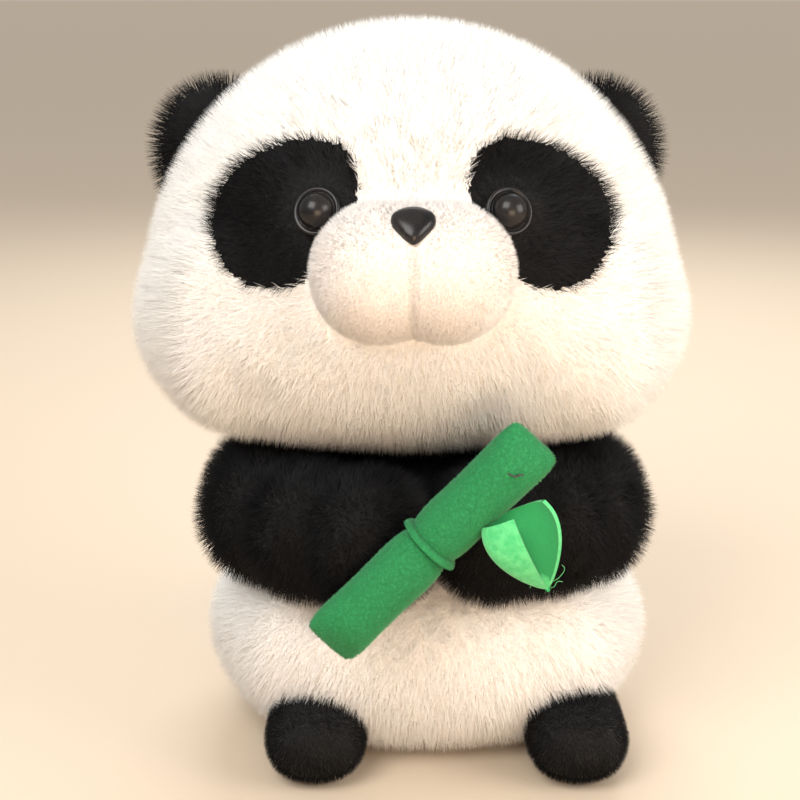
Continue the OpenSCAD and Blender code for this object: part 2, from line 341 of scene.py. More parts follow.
def alone(piece=None):
    """Object mode, with nothing or only this piece selected."""
    if bpy.context.object and bpy.context.object.mode != "OBJECT":
        bpy.ops.object.mode_set(mode="OBJECT")
    bpy.ops.object.select_all(action="DESELECT")
    if piece:
        piece.select_set(True)
        bpy.context.view_layer.objects.active = piece


def edit(by="VERT"):
    """Edit mode, where what code has selected as vertices or as faces stays selected."""
    bpy.context.tool_settings.mesh_select_mode = (by == "VERT", False, by == "FACE")
    bpy.ops.object.mode_set(mode="EDIT")


def lump(centre, radii, roundness=1.0, cuts=15, low=None):
    """A rounded block of those half sizes. low is the half height below its middle, where that differs."""
    alone()
    bpy.ops.mesh.primitive_cube_add(size=1.0, location=(0, 0, 0))
    block = bpy.context.object
    bpy.ops.object.mode_set(mode="EDIT")
    bpy.ops.mesh.select_all(action="SELECT")
    bpy.ops.mesh.subdivide(number_cuts=cuts)
    bpy.ops.transform.tosphere(value=roundness)
    bpy.ops.object.mode_set(mode="OBJECT")
    reach = [max(v.co[i] for v in block.data.vertices) for i in range(3)]
    low = radii[2] if low is None else low
    for vertex in block.data.vertices:
        vertex.select = vertex.co.z < -TOUCHING
    for part in (*block.data.edges, *block.data.polygons):
        part.select = False
    edit("VERT")
    bpy.ops.transform.resize(value=(1, 1, low / radii[2]), center_override=(0, 0, 0))
    bpy.ops.mesh.select_all(action="SELECT")
    bpy.ops.transform.resize(value=[radii[i] / reach[i] for i in range(3)], center_override=(0, 0, 0))
    bpy.ops.transform.translate(value=centre)
    bpy.ops.object.mode_set(mode="OBJECT")
    return block


def fuse(name, blocks, voxel, rounds):
    """Joins the blocks, gives them one even skin and eases its corners."""
    alone(blocks[0])
    for block in blocks:
        block.select_set(True)
    if len(blocks) > 1:
        bpy.ops.object.join()
    skin = bpy.context.object
    skin.name = skin.data.name = name
    skin.data.remesh_voxel_size = voxel
    bpy.ops.object.voxel_remesh()
    bpy.ops.object.mode_set(mode="EDIT")
    bpy.ops.mesh.select_all(action="SELECT")
    bpy.ops.mesh.vertices_smooth(factor=0.5, repeat=rounds)
    bpy.ops.object.mode_set(mode="OBJECT")
    bpy.ops.object.shade_smooth()
    return skin


def finer(piece, levels=1):
    """One more subdivision, applied."""
    alone(piece)
    bpy.ops.object.modifier_add(type="SUBSURF")
    piece.modifiers[-1].levels = piece.modifiers[-1].render_levels = levels
    bpy.ops.object.modifier_apply(modifier=piece.modifiers[-1].name)


# %% [markdown]
# ### Seams and panels
# A sewn seam shows as a fine valley, where the thread pulls the fabric in. It could be cut into the skin, but
# sinking the points near a line is enough under fur. A panel is then a set of faces taken off the skin, so
# that neighbours meet edge to edge.

# %% Seams and panels
def seam(piece, line, width, depth):
    """Sinks the points within width of a line by up to depth. line gives a point's distance from it."""
    normals = [v.normal.copy() for v in piece.data.vertices]
    for vertex, normal in zip(piece.data.vertices, normals):
        away = abs(line(vertex.co)) / width
        if away < 1:
            vertex.co -= normal * depth * (1 - away * away) ** 2
    piece.data.update()


def cut_out(piece, name, inside):
    """Takes the faces whose middle passes inside off the piece, as a piece of their own."""
    alone(piece)
    for face in piece.data.polygons:
        face.select = bool(inside(face.center))
    for part in (*piece.data.edges, *piece.data.vertices):
        part.select = False
    edit("FACE")
    bpy.ops.mesh.separate(type="SELECTED")
    bpy.ops.object.mode_set(mode="OBJECT")
    panel = [o for o in bpy.context.selected_objects if o is not piece][0]
    panel.name = panel.data.name = name
    return panel


# %% [markdown]
# ## Stuffing
# Wadding pushes a sewn bag out until the fabric is taut, and taut fabric has no sharp corners. Blender's
# Cloth can press from inside with no gravity. These skins are modelled at their stuffed size already, so the
# twenty frames only ease their corners, by about a millimetre, and hardly change how much they hold. A limit
# keeps every point close.

# %% Stuffing by pressure
STUFFING_FRAMES = 20


def stuff(piece, pressure, most):
    """Eases the piece by inner pressure, but moves no point further than most."""
    before = [v.co.copy() for v in piece.data.vertices]
    alone(piece)
    bpy.ops.object.modifier_add(type="CLOTH")
    cloth = piece.modifiers[-1]
    cloth.settings.use_pressure = True
    cloth.settings.uniform_pressure_force = pressure
    cloth.settings.effector_weights.gravity = 0
    cloth.settings.quality = 5
    cloth.settings.mass = 0.01
    cloth.settings.air_damping = 0.01
    for number in range(1, STUFFING_FRAMES + 1):
        bpy.context.scene.frame_set(number)
    bpy.ops.object.modifier_apply(modifier=cloth.name)
    bpy.context.scene.frame_set(1)
    moved = 0.0
    for vertex, start in zip(piece.data.vertices, before):
        step = vertex.co - start
        if step.length > most:
            vertex.co = start + step * (most / step.length)
        moved = max(moved, min(step.length, most))
    piece.data.update()
    print(piece.name, "furthest point moved", round(moved / MM, 1), "mm")


# %% [markdown]
# ## Pile
# Fur could be a pattern, or hair strands, but only a mesh is kept when the toy is handed on, so every fibre
# is a mesh. There are several hundred thousand of them, so one is a three-sided spike with as few faces as
# can be. It is modelled one unit long, and each copy is stretched to its own length.

# %% One fibre of each finish
def make_fibre(name, material, radius):
    """A spike one unit long, which only serves to be copied and is taken away at the end."""
    alone()
    bpy.ops.mesh.primitive_cone_add(
        vertices=3, radius1=radius, depth=1.0, location=(0, 0, 0.5), end_fill_type="TRIFAN"
    )
    spike = bpy.context.object
    bpy.ops.object.transform_apply(location=True, rotation=True, scale=True)
    bpy.ops.object.mode_set(mode="EDIT")
    bpy.ops.mesh.select_all(action="SELECT")
    bpy.ops.mesh.remove_doubles(threshold=TOUCHING)
    bpy.ops.mesh.dissolve_limited(angle_limit=0.01)
    bpy.ops.object.mode_set(mode="OBJECT")
    spike.name = name
    along = spike.data.attributes.new("along", "FLOAT", "POINT")
    for item, vertex in zip(along.data, spike.data.vertices):
        item.value = vertex.co.z
    spike.data.materials.append(material)
    bpy.ops.object.shade_smooth()
    return spike


spikes = []


def spike_of(material, radius):
    """The spike of that finish and radius, which is made once."""
    for spike, known, size in spikes:
        if known is material and size == radius:
            return spike
    spikes.append((make_fibre("fibre_seed", material, radius), material, radius))
    return spikes[-1][0]


# %% [markdown]
# ### Planting
# Geometry Nodes scatters points over the skin, stands one fibre on each, and leans it by three things: the
# way the pile was brushed, a slow noise that gathers fibres into tufts, and a small random turn each. Where a
# hard part such as an eye sits in the pile, the fibres round it are shorter and lean away, as they are
# trimmed on the real toy. The fibres take the skin's own normals, which shades the pile as one soft mass, and
# none may reach into the table.

# %% Planting the pile
FLOOR_CLEARANCE = 0.0001
STRAY_SEED, LENGTH_SEED = 11, 23


def shade_as_skin(mesh):
    """Gives every point the normal of the skin that it grows from."""
    flow = [0.0] * (3 * len(mesh.vertices))
    mesh.attributes["skin_normal"].data.foreach_get("vector", flow)
    mesh.normals_split_custom_set_from_vertices([flow[i:i + 3] for i in range(0, len(flow), 3)])
    mesh.attributes.remove(mesh.attributes["skin_normal"])


def keep_off_table(mesh):
    """Lifts what would reach below the table's top."""
    spots = [0.0] * (3 * len(mesh.vertices))
    mesh.vertices.foreach_get("co", spots)
    if min(spots[2::3]) < 0:
        spots[2::3] = [max(height, FLOOR_CLEARANCE) for height in spots[2::3]]
        mesh.vertices.foreach_set("co", spots)


def pile(
    piece,
    skin_finish,
    fibre_finish,
    per_mm2,
    length,
    radius=0.16,
    brush=(0, 0, -0.4),
    swirl=None,
    mess=0.35,
    tuft=1.2,
    tuft_size=9.0,
    even=0.8,
    seed=1,
    trims=(),
):
    """Plants fibres over the piece, brushed along brush and away from the point swirl.

    length, radius and tuft_size are in millimetres. Each of trims is a place, the distances at which the
    trim begins to fade and has gone, the share of the length that is left there, and how strongly the
    fibres lean away.
    """
    piece.data.materials.clear()
    piece.data.materials.append(skin_finish)
    spike = spike_of(fibre_finish, radius * MM)
    tree = bpy.data.node_groups.new("pile of " + piece.name, "GeometryNodeTree")
    tree.interface.new_socket("Geometry", in_out="INPUT", socket_type="NodeSocketGeometry")
    tree.interface.new_socket("Geometry", in_out="OUTPUT", socket_type="NodeSocketGeometry")
    r = Recipe(tree)
    skin = r.add("NodeGroupInput")[0]
    points = r.add(
        "GeometryNodeDistributePointsOnFaces",
        {"distribute_method": "RANDOM"},
        {"Mesh": skin, "Density": per_mm2 * 1e6, "Seed": seed},
    )
    normal = r.add("GeometryNodeCaptureAttribute", {"domain": "POINT"})
    normal.node.capture_items.new("VECTOR", "skin normal")
    tree.links.new(points["Points"].link, normal.node.inputs[0])
    tree.links.new(points["Normal"].link, normal.node.inputs[1])
    out = normal[1]
    place = r.add("GeometryNodeInputPosition")[0]
    lean = r.plus(out, r.add("FunctionNodeInputVector", {"vector": brush})[0])
    if swirl is not None:
        middle, strength = swirl
        away = r.vector("NORMALIZE", r.vector("SUBTRACT", place, middle)[0])[0]
        lean = r.plus(lean, r.times(away, strength))
    gather = r.vector("SUBTRACT", r.noise(place, 1000.0 / tuft_size, 1.5)["Color"], (0.5, 0.5, 0.5))[0]
    lean = r.plus(lean, r.times(gather, tuft))
    stray = r.add(
        "FunctionNodeRandomValue",
        {"data_type": "FLOAT_VECTOR"},
        {0: (-mess, -mess, -mess), 1: (mess, mess, mess), "Seed": seed + STRAY_SEED},
    )[0]
    lean = r.plus(lean, stray)
    tall = r.add(
        "FunctionNodeRandomValue",
        {"data_type": "FLOAT"},
        {2: length * even * MM, 3: length * MM, "Seed": seed + LENGTH_SEED},
    )[1]
    for centre, hard, soft, shortest, push in trims:
        gap = r.vector("SUBTRACT", place, centre)[0]
        near = r.vector("LENGTH", gap)["Value"]
        tall = tall * near.clipped(hard * MM, soft * MM, shortest, 1.0)
        lean = r.plus(
            lean, r.times(r.vector("NORMALIZE", gap)[0], near.clipped(hard * MM, soft * MM, push, 0.0))
        )
    turn = r.add("FunctionNodeAlignRotationToVector", {"axis": "Z"}, {"Vector": lean})[0]
    size = r.add("ShaderNodeCombineXYZ", None, {0: 1.0, 1: 1.0, 2: tall})[0]
    standing = r.add(
        "GeometryNodeInstanceOnPoints",
        None,
        {
            "Points": normal[0],
            "Instance": r.add("GeometryNodeObjectInfo", None, {"Object": spike})["Geometry"],
            "Rotation": turn,
            "Scale": size,
        },
    )[0]
    marked = r.add(
        "GeometryNodeStoreNamedAttribute",
        {"data_type": "FLOAT_VECTOR", "domain": "INSTANCE"},
        {"Geometry": standing, "Name": "skin_normal", "Value": out},
    )[0]
    real = r.add("GeometryNodeRealizeInstances", None, {0: marked})[0]
    bare = r.add(
        "GeometryNodeStoreNamedAttribute",
        {"data_type": "FLOAT_VECTOR", "domain": "POINT"},
        {"Geometry": skin, "Name": "skin_normal", "Value": r.add("GeometryNodeInputNormal")[0]},
    )[0]
    both = r.add("GeometryNodeJoinGeometry", None, {0: bare})
    tree.links.new(real.link, both.node.inputs[0])
    r.add("NodeGroupOutput", None, {0: both[0]})
    alone(piece)
    bpy.ops.object.modifier_add(type="NODES")
    piece.modifiers[-1].node_group = tree
    bpy.ops.object.modifier_apply(modifier=piece.modifiers[-1].name)
    bpy.ops.object.shade_smooth()
    shade_as_skin(piece.data)
    keep_off_table(piece.data)
    print(piece.name, "pile faces", len(piece.data.polygons))


# %% [markdown]
# ### Telling the frame
# Each finished piece moves with one body of the toy and takes the place of the plain CAD solids that it
# dresses.

# %% Telling the frame
def settle(piece, body, stands_for):
    """Tells the frame what the piece is: the body it moves with and the CAD nodes it stands for."""
    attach(piece, body)
    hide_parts(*stands_for)


# %% [markdown]
# ## The head
# The head is wider than tall, with full cheeks low down and a nearly flat underside. It is four plush panels,
# two in front and two behind, with a black patch let in round each eye. One skin is made for all of them, so
# that their edges meet, and it is parted into panels after stuffing.

# %% Head skin
head_low, head_high = span("face_left", "face_right", "head_back_left", "head_back_right")
head_mid = (head_low + head_high) / 2
eye_box = {side: span("eye_" + side) for side in ("left", "right")}
widest, cheek_level = 0.157, 0.150
crown_wide, crown_deep, crown_shift = 0.0885, 0.069, 0.002
crown = lump(
    (head_mid.x, head_mid.y + crown_shift, widest),
    radii=(crown_wide, crown_deep, head_high.z - widest - 0.001),
    cuts=20,
    low=widest - head_low.z - 0.001,
)
cheeks = lump(
    (head_mid.x, head_mid.y, cheek_level),
    radii=(0.0925, 0.0635, 0.05),
    roundness=0.6,
    cuts=20,
    low=cheek_level - head_low.z - 0.0005,
)
head = fuse("head_skin", [crown, cheeks], voxel=0.0036, rounds=7)
stuff(head, pressure=30.0, most=0.003)
finer(head)
print("head skin", len(head.data.polygons), [round(v, 4) for v in head.dimensions])
seam(head, lambda p: p.x - head_mid.x, width=0.0025, depth=0.0004)

# %% [markdown]
# ### Eye patches and panels
# A patch could be painted on, but on the toy it is a black piece let into the white ones, so its fibres start
# at an edge and cross it. The patch is a bean that droops outwards. A small disc under the muzzle is taken
# off as well, because no pile can grow where the muzzle sits on the face.

# %% Eye patches and panels
PATCH_ASIDE, PATCH_UP, PATCH_LONG, PATCH_WIDE, PATCH_SWELL = 0.0398, 0.0378, 0.0266, 0.0195, 0.0035
PATCH_DROOP = math.radians(42)
PATCH_SWELL_OVER, PATCH_BACK = 0.027, 0.01


def eye_middle(side):
    low, high = eye_box[side]
    return (low + high) / 2


def in_patch(side):
    """Whether a point of the face lies in the eye patch: a bean that droops outwards and down."""
    sign = 1 if side == "left" else -1

    def test(p):
        if p.y > head_mid.y - PATCH_BACK:
            return False
        x = sign * (p.x - head_mid.x) - PATCH_ASIDE
        z = p.z - widest - PATCH_UP
        along = x * math.cos(PATCH_DROOP) - z * math.sin(PATCH_DROOP)
        across = x * math.sin(PATCH_DROOP) + z * math.cos(PATCH_DROOP)
        wide = PATCH_WIDE + PATCH_SWELL * max(-1, min(1, along / PATCH_SWELL_OVER))
        return (along / PATCH_LONG) ** 2 + (across / wide) ** 2 < 1

    return test


patches = {side: cut_out(head, "eye_patch_" + side + "_plush", in_patch(side)) for side in ("left", "right")}
seam_y = 0.004
muzzle_mid = Vector((head_mid.x, -0.065, 0.178))
bare_radius = 0.0175
under_muzzle = cut_out(head, "face_under_muzzle", lambda p: p.y < 0 and (p - muzzle_mid).length < bare_radius)
under_muzzle.data.materials.append(white_backing)
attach(under_muzzle, "head")
panels = {
    "face_left": cut_out(head, "face_left_plush", lambda p: p.y < seam_y and p.x > head_mid.x),
    "face_right": cut_out(head, "face_right_plush", lambda p: p.y < seam_y and p.x <= head_mid.x),
    "head_back_left": cut_out(head, "head_back_left_plush", lambda p: p.x > head_mid.x),
}
head.name = head.data.name = "head_back_right_plush"
panels["head_back_right"] = head
print("panels of the head", len(panels), "and patches", len(patches))

# %% [markdown]
# ### The head's fur
# The fur is brushed outwards from the muzzle and a little down. It is densest on the face, where it is seen,
# and is trimmed short round the eyes and under the muzzle.

# %% Head pile
FACE_PER_MM2, BACK_PER_MM2 = 2.2, 1.8
trims = [
    (tuple(eye_middle(side) + Vector((0, 0.002, 0))), 8.5, 17.0, 0.42, 1.3) for side in ("left", "right")
]
muzzle_trim = [((head_mid.x + shift, -0.066, 0.178), 22.0, 29.0, 0.45, 0.6) for shift in (-0.0105, 0.0105)]
swirl_point = (head_mid.x, -0.03, 0.165)
for seed, (name, panel) in enumerate(panels.items()):
    pile(
        panel,
        white_backing,
        white_fibre,
        per_mm2=FACE_PER_MM2 if "face" in name else BACK_PER_MM2,
        length=8.8,
        radius=0.125,
        brush=(0, 0, -0.12),
        swirl=(swirl_point, 0.3),
        mess=0.34,
        tuft=0.85,
        tuft_size=6.0,
        seed=seed + 3,
        trims=trims + muzzle_trim if "face" in name else (),
    )
    wadding = ["head_fill"] if name == "face_left" else []
    settle(panel, "head", [name] + wadding)
for seed, (side, patch) in enumerate(patches.items()):
    pile(
        patch,
        black_backing,
        black_fibre,
        per_mm2=2.4,
        length=8.0,
        radius=0.13,
        brush=(0, 0, -0.15),
        swirl=((eye_middle(side).x, -0.02, 0.19), 0.5),
        mess=0.4,
        tuft=1.3,
        tuft_size=7.0,
        seed=seed + 13,
        trims=[trims[seed]] + muzzle_trim,
    )
    settle(patch, "head", ["eye_patch_" + side])

# %% [markdown]
# ## The muzzle
# The muzzle is a small bag of short-nap fabric in two lobes, drawn together by one line of stitches down the
# middle. Two balls with a smaller one between them, fused into one skin, give the lobes, and the seam pulls
# the line in further.

# %% Muzzle
lobe_aside, lobe_y, lobe_z = 0.0104, -0.0655, 0.1776
lobes = [
    lump(
        (head_mid.x + sign * lobe_aside, lobe_y, lobe_z), radii=(0.0208, 0.0222, 0.0212), cuts=11
    ) for sign in (-1, 1)
]
lobes.append(lump((head_mid.x, -0.0645, 0.1785), radii=(0.0168, 0.0220, 0.0205), cuts=11))
muzzle = fuse("muzzle_plush", lobes, voxel=0.0018, rounds=8)
stuff(muzzle, pressure=60.0, most=0.001)
finer(muzzle)
seam(muzzle, lambda p: p.x - head_mid.x if p.z < 0.190 else 1.0, width=0.0022, depth=0.0009)
pile(
    muzzle,
    white_backing,
    muzzle_fibre,
    per_mm2=4.4,
    length=2.6,
    radius=0.14,
    brush=(0, 0, -0.25),
    mess=0.6,
    tuft=1.1,
    tuft_size=3.0,
    seed=31,
    trims=[((head_mid.x, -0.079, 0.1935), 5.0, 9.0, 0.4, 0.8)],
)
settle(muzzle, "head", ["muzzle_cover", "muzzle_fill"])

# %% [markdown]
# ## The ears
# Each ear is two half rounds sewn together and lightly filled, with its open edge caught in the head's side
# seam. It could be parted at its rim like the head, but long pile hides that seam, so one flat block stands
# for both halves. It is sunk into the head, and what is inside doesn't show.

# %% Ears
ear_shift, ear_aside, ear_y, ear_z = 0.0015, 0.0665, 0.010, 0.2075
for seed, side in enumerate(("left", "right")):
    sign = 1 if side == "left" else -1
    heart = Vector((head_mid.x - ear_shift + sign * ear_aside, ear_y, ear_z))
    ear = fuse("ear_" + side, [lump(heart, radii=(0.0200, 0.0065, 0.0225), cuts=11)], voxel=0.0022, rounds=2)
    pile(
        ear,
        black_backing,
        black_fibre,
        per_mm2=2.6,
        length=8.0,
        radius=0.13,
        brush=(sign * 0.2, 0, 0.0),
        swirl=(tuple(heart), 0.5),
        mess=0.4,
        tuft=1.3,
        tuft_size=7.0,
        seed=seed + 41,
    )
    settle(ear, "ear_" + side, ["ear_" + side + "_front", "ear_" + side + "_back"])

# %% [markdown]
# ## The body
# The body is a barrel that sits on a flat base, white up to the arms and black above. A wide block for the
# belly, a narrow one for the chest between the arms and one for the back of the shoulders are fused and
# stuffed as one, then parted at the sewing lines.

# %% Body skin
belly_low, belly_high = span("belly_left", "belly_right", "back_left", "back_right")
belly_mid = (belly_low + belly_high) / 2
barrel = lump((0, belly_mid.y, 0.037), radii=(0.0765, 0.0575, 0.034), roundness=0.78, cuts=18, low=0.0375)
chest = lump((0, 0.004, 0.085), radii=(0.0355, 0.0355, 0.0205), roundness=0.75, cuts=12, low=0.04)
shoulders = lump((0, 0.030, 0.085), radii=(0.050, 0.023, 0.0200), roundness=0.75, cuts=12, low=0.03)
body = fuse("body_skin", [barrel, chest, shoulders], voxel=0.0038, rounds=7)
stuff(body, pressure=60.0, most=0.003)
finer(body)
floor_gap, seam_top, band_bottom, base_top = 0.0012, 0.067, 0.066, 0.0022
for vertex in body.data.vertices:
    vertex.co.z = max(vertex.co.z, floor_gap)
seam(body, lambda p: p.x if p.z < seam_top else 1.0, width=0.0025, depth=0.0003)
chest_band = cut_out(body, "chest_band", lambda p: p.z > band_bottom)
base = cut_out(body, "base_plush", lambda p: p.z < base_top)
body_panels = {
    "belly_left": cut_out(body, "belly_left_plush", lambda p: p.y < seam_y and p.x > 0),
    "belly_right": cut_out(body, "belly_right_plush", lambda p: p.y < seam_y and p.x <= 0),
    "back_left": cut_out(body, "back_left_plush", lambda p: p.x > 0),
}
body.name = body.data.name = "back_right_plush"
body_panels["back_right"] = body
print("panels of the body", len(body_panels) + 2)

# %% [markdown]
# ### The body's fur
# Gravity and hands brush the body's fur downwards. Near the flat base it is short, because the toy sits on
# it, and the base itself is a plain short-nap cloth.

# %% Body pile
for seed, (name, panel) in enumerate(body_panels.items()):
    pile(
        panel,
        white_backing,
        white_fibre,
        per_mm2=2.0 if "belly" in name else 1.75,
        length=8.6,
        radius=0.125,
        brush=(0, 0, -0.45),
        mess=0.32,
        tuft=1.0,
        tuft_size=7.0,
        seed=seed + 51,
        trims=[((0, 0, -0.05), 56.0, 66.0, 0.4, 0.0)],
    )
    settle(panel, "torso", [name] + (["body_fill"] if name == "belly_left" else []))
pile(
    chest_band,
    black_backing,
    black_fibre,
    per_mm2=2.2,
    length=8.0,
    radius=0.13,
    brush=(0, -0.1, 0.2),
    mess=0.4,
    tuft=1.2,
    tuft_size=8.0,
    seed=61,
)
settle(chest_band, "torso", ["chest_left", "chest_right"])
pile(base, white_backing, muzzle_fibre, per_mm2=1.0, length=1.0, radius=0.12, brush=(0.4, 0, 0), seed=62)
settle(base, "torso", ["base_panel"])

# %% [markdown]
# ## The neck
# Under the chin the head is gathered on to a short, firm neck. It is hardly seen, so one flat block is
# enough, and its black pile closes the gap above the arms.

# %% Neck
core = fuse(
    "neck",
    [lump((head_mid.x, 0.002, 0.111), radii=(0.033, 0.030, 0.011), roundness=0.8, cuts=12)],
    voxel=0.003,
    rounds=3,
)
pile(
    core,
    black_backing,
    black_fibre,
    per_mm2=1.1,
    length=7.0,
    radius=0.13,
    brush=(0, -0.1, 0.1),
    mess=0.4,
    tuft=1.0,
    seed=65,
)
settle(core, "neck", ["neck_core", "neck_thread"])

# %% [markdown]
# ## The tail
# A small ball of white plush, gathered and sewn on low at the back. Its pile is brushed down and
# a little away from the body.

# %% Tail
tail = fuse("tail", [lump((0, 0.0655, 0.026), radii=(0.0145, 0.0145, 0.0145), cuts=9)], voxel=0.002, rounds=2)
pile(
    tail,
    white_backing,
    white_fibre,
    per_mm2=1.9,
    length=8.0,
    brush=(0, 0, -0.3),
    swirl=((0, 0.06, 0.026), 0.3),
    tuft=1.3,
    seed=63,
)
settle(tail, "torso", ["tail_cover", "tail_fill"])

# %% [markdown]
# ## The arms
# Each arm is a bent, round-ended bolster of black plush. Rounded blocks at the shoulder, elbow and paw, with
# one between each two, fuse into one bend.

# %% Arms
shoulder, elbow = (0.0564, -0.004), (0.056, -0.031)
paw_at = {"left": (0.0254, -0.048), "right": (0.021, -0.0586)}
arm_height, left_arm_inwards = 0.087, 0.003
for seed, side in enumerate(("left", "right")):
    sign = 1 if side == "left" else -1
    paw = paw_at[side]
    upper_arm = (shoulder[0], (shoulder[1] + elbow[1]) / 2)
    forearm = ((elbow[0] + paw[0]) / 2 + 0.002, (elbow[1] + paw[1]) / 2 - 0.002)
    bend = [shoulder, upper_arm, elbow, forearm, paw]
    inwards = left_arm_inwards if side == "left" else 0.0
    stops = [(sign * x - inwards, y, arm_height) for x, y in bend]
    limb = [lump(stop, radii=(0.0195, 0.0195, 0.0208), roundness=0.93, cuts=10) for stop in stops]
    arm = fuse("arm_" + side, limb, voxel=0.0028, rounds=5)
    stuff(arm, pressure=60.0, most=0.0012)
    finer(arm)
    pile(
        arm,
        black_backing,
        black_fibre,
        per_mm2=2.1,
        length=8.6,
        radius=0.13,
        brush=(sign * -0.25, -0.1, -0.2),
        mess=0.4,
        tuft=1.5,
        tuft_size=9.0,
        seed=seed + 71,
    )
    settle(arm, "arm_" + side, ["arm_" + side + "_cover", "arm_" + side + "_fill"])

# %% [markdown]
# ## The feet
# Two small nubs of smooth, short-nap black plush at the front of the seat. Three low blocks in a row give
# each one its length and its round toe.

# %% Feet
feet_middle, foot_aside, foot_height, sole_gap = 0.006, 0.045, 0.0134, 0.001
foot_stops = (-0.036, -0.046, -0.0555)
for seed, side in enumerate(("left", "right")):
    sign = 1 if side == "left" else -1
    middle = feet_middle + sign * foot_aside
    blocks = [
        lump(
            (middle, y, foot_height), radii=(0.0163, 0.0160, 0.0124), roundness=0.85, cuts=8
        ) for y in foot_stops
    ]
    foot = fuse("foot_" + side, blocks, voxel=0.002, rounds=3)
    for vertex in foot.data.vertices:
        vertex.co.z = max(vertex.co.z, sole_gap)
    stuff(foot, pressure=60.0, most=0.0008)
    finer(foot)
    pile(
        foot,
        black_backing,
        foot_fibre,
        per_mm2=3.3,
        length=2.8,
        radius=0.12,
        brush=(0, -0.4, -0.4),
        mess=0.35,
        tuft=0.8,
        tuft_size=5.0,
        seed=seed + 81,
    )
    settle(foot, "torso", ["foot_" + side + "_cover", "foot_" + side + "_fill"])

# %% [markdown]
# ## Eyes and nose
# Safety eyes are moulded in one piece: a polished dome on a thin rounded rim. The nose is a polished rounded
# triangle. Their gloss is what brings the face to life, so the plastic is smooth over a deep black, with a
# very faint ripple from the mould.

# %% Gloss plastic
gloss, recipe, shader, place = finish("polished black plastic", roughness=0.25, sheen=0.0, shine=0.3)
ripple = recipe.noise(place, 160.0, 2.0)["Fac"]
feed(
    recipe,
    shader,
    "Base Color",
    recipe.blended(ripple.clipped(0.3, 0.7), rgb(0.004, 0.004, 0.005), rgb(0.012, 0.010, 0.010)),
)
feed(recipe, shader, "Roughness", ripple * 0.08 + 0.22)
feed(
    recipe,
    shader,
    "Normal",
    recipe.add("ShaderNodeBump", None, {"Strength": 0.08, "Distance": 0.0003, "Height": ripple})["Normal"],
)


# %% [markdown]
# ### Turning on a lathe
# Anything round is drawn as half of its outline and spun. The outline could be a curve with a Screw modifier,
# but extruding a point from stop to stop and spinning it keeps everything in one mesh.

# %% Turning on a lathe
def place_along(piece, origin, outward):
    """Turns a piece modelled round +Z so that +Z runs outward, and puts its origin there, in its mesh."""
    alone(piece)
    piece.rotation_euler = Vector(outward).to_track_quat("Z", "Y").to_euler()
    piece.location = origin
    bpy.ops.object.transform_apply(location=True, rotation=True, scale=True)


def turned(name, profile, steps=48):
    """A lathe-turned piece: a profile of (radius, height) points spun about Z."""
    alone()
    bpy.ops.mesh.primitive_plane_add(size=0.001)
    piece = bpy.context.object
    piece.name = piece.data.name = name
    edit("VERT")
    bpy.ops.mesh.select_all(action="SELECT")
    bpy.ops.mesh.merge(type="CENTER")
    bpy.ops.transform.translate(value=(profile[0][0], 0, profile[0][1]))
    for (r0, h0), (r1, h1) in zip(profile, profile[1:]):
        bpy.ops.mesh.extrude_region_move(TRANSFORM_OT_translate={"value": (r1 - r0, 0, h1 - h0)})
    bpy.ops.mesh.select_all(action="SELECT")
    bpy.ops.mesh.spin(steps=steps, angle=math.tau, center=(0, 0, 0), axis=(0, 0, 1))
    bpy.ops.mesh.select_all(action="SELECT")
    bpy.ops.mesh.remove_doubles(threshold=TOUCHING)
    bpy.ops.mesh.normals_make_consistent(inside=False)
    bpy.ops.object.mode_set(mode="OBJECT")
    bpy.ops.object.shade_smooth()
    return piece


# %% [markdown]
# ### The eyes
# An eye is a half ball on a flat rim with a rounded edge. Each looks outwards and a little up, square to the
# face where it sits.

# %% Eyes
rim, dome, dome_foot = 0.00775, 0.00585, 0.0012
lip_middle, lip_height, lip_round = rim - 0.0008, 0.0007, 0.0009
profile = [(0.0, -0.0002), (lip_middle, -0.0002)]
for angle in [math.radians(degrees) for degrees in range(30, 181, 30)]:
    profile.append((lip_middle + lip_round * math.sin(angle), lip_height - lip_round * math.cos(angle)))
profile += [(rim - 0.0016, dome_foot), (dome + 0.0002, 0.0011)]
for angle in [math.radians(degrees) for degrees in range(0, 90, 9)]:
    profile.append((dome * math.cos(angle), dome_foot + dome * math.sin(angle)))
profile.append((0.0, dome_foot + dome))
eye_aside, eye_height, eye_proud = 0.029, 0.195, 0.002
pitch, splay = math.radians(20), math.radians(20)
face_deep, half_face_wide, face_tall = 0.068, 93, 91
eye_across, eye_above = 29, 38
bulge = 1 - (eye_across / half_face_wide) ** 2 - (eye_above / face_tall) ** 2
face_out = face_deep * math.sqrt(bulge) + 0.0005
for side in ("left", "right"):
    sign = 1 if side == "left" else -1
    eye = turned("eye_" + side + "_moulding", profile)
    outward = Vector(
        (sign * math.sin(splay) * math.cos(pitch), -math.cos(splay) * math.cos(pitch), math.sin(pitch))
    )
    place_along(
        eye, Vector((head_mid.x + sign * eye_aside, -face_out, eye_height)) + outward * eye_proud, outward
    )
    eye.data.materials.append(gloss)
    settle(eye, "head", ["eye_" + side])

# %% [markdown]
# ### The nose
# The nose starts as one flat block. Its lower part is drawn in to a point and its top edge is bowed, which
# makes a rounded triangle, and a fine remesh evens the skin again.

